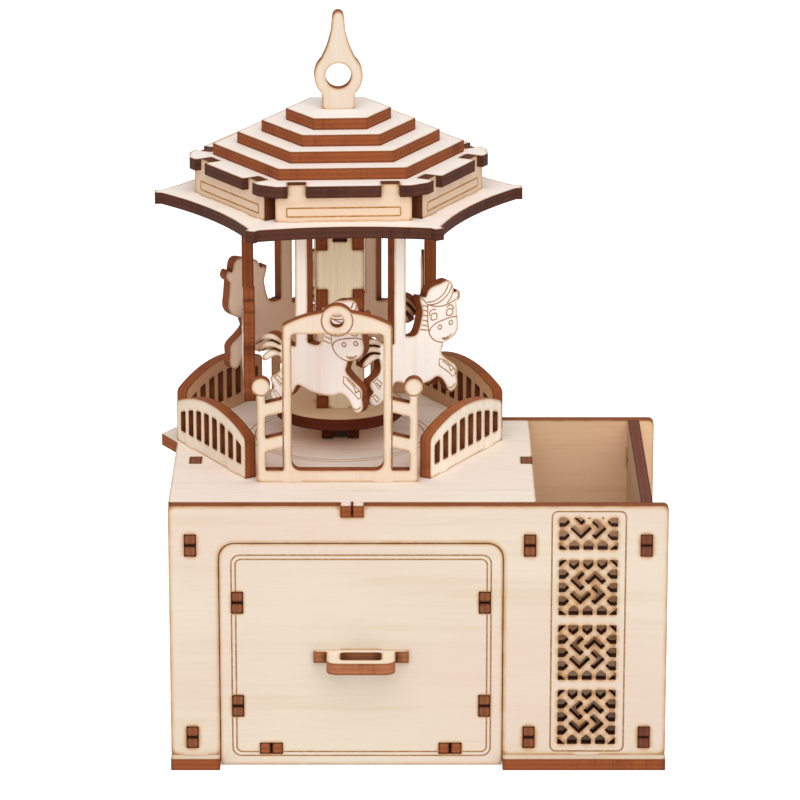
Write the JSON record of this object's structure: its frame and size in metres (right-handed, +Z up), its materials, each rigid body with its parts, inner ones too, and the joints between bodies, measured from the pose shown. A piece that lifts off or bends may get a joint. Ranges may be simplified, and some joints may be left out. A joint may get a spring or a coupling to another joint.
{
  "type": "music box",
  "caption": "Plywood box with a drawer and a pen bay, and on it a fenced platform where a carousel with horses and a stepped roof turns on a musical movement.",
  "frame": {"origin": "centre of the underside of the bottom board, on the ground", "axes": "+Z up, +Y towards the back, +X to the right as seen from the drawer side; the drawer front faces -Y"},
  "size_m": [0.1177, 0.1017, 0.165],
  "materials": {
    "plywood": "raw basswood plywood with laser-browned edges",
    "plywood_burnt": "basswood plywood with strongly browned edges",
    "zinc_casting": "bare casting",
    "brass": "satin",
    "steel": "plain"
  },
  "bodies": {
    "box": {"bottom_board": "plywood", "front_panel": "plywood", "back_panel": "plywood", "left_side_panel": "plywood", "right_side_panel": "plywood", "divider_panel": "plywood", "top_plate": "plywood", "drawer_runners": "plywood", "entrance_gate": "plywood", "fence_front_left": "plywood", "fence_front_right": "plywood", "fence_back_left": "plywood", "fence_back_right": "plywood", "fence_back": "plywood", "movement_bedplate": "zinc_casting", "movement_screws": "steel", "spring_housing": "brass", "governor_housing": "zinc_casting", "music_comb": "steel", "comb_screws": "brass"},
    "carousel": {"spindle": "steel", "drive_hub": "plywood_burnt", "turntable_disc": "plywood_burnt", "column_front": "plywood", "column_back": "plywood", "column_left": "plywood", "column_right": "plywood", "eave_board": "plywood", "skirt_front": "plywood", "skirt_front_right": "plywood", "skirt_back_right": "plywood", "skirt_back": "plywood", "skirt_back_left": "plywood", "skirt_front_left": "plywood", "ring_board": "plywood", "roof_tier_1": "plywood_burnt", "roof_tier_2": "plywood_burnt", "roof_tier_3": "plywood_burnt", "roof_tier_4": "plywood_burnt", "finial": "plywood", "horse_1": "plywood", "horse_2": "plywood", "horse_3": "plywood", "horse_4": "plywood", "horse_5": "plywood", "horse_6": "plywood"},
    "drawer": {"drawer_front": "plywood", "drawer_left_side": "plywood", "drawer_right_side": "plywood", "drawer_back": "plywood", "drawer_bottom": "plywood", "drawer_handle": "plywood"},
    "cylinder": {"pinned_cylinder": "brass"}
  },
  "joints": [
    {"name": "carousel_spin", "type": "hinge", "parent": "box", "child": "carousel", "pos_m": [-0.0184, 0.0217, 0.0628], "axis": [0, 0, 1], "continuous": true},
    {"name": "drawer_slide", "type": "slide", "parent": "box", "child": "drawer", "axis": [0, -1, 0], "range_m": [0, 0.045]},
    {"name": "cylinder_spin", "type": "hinge", "parent": "box", "child": "cylinder", "pos_m": [-0.0062, 0.0217, 0.0509], "axis": [1, 0, 0], "continuous": true}
  ],
  "couplings": [
    {"joint": "cylinder_spin", "follows": "carousel_spin", "ratio": 2.5}
  ]
}
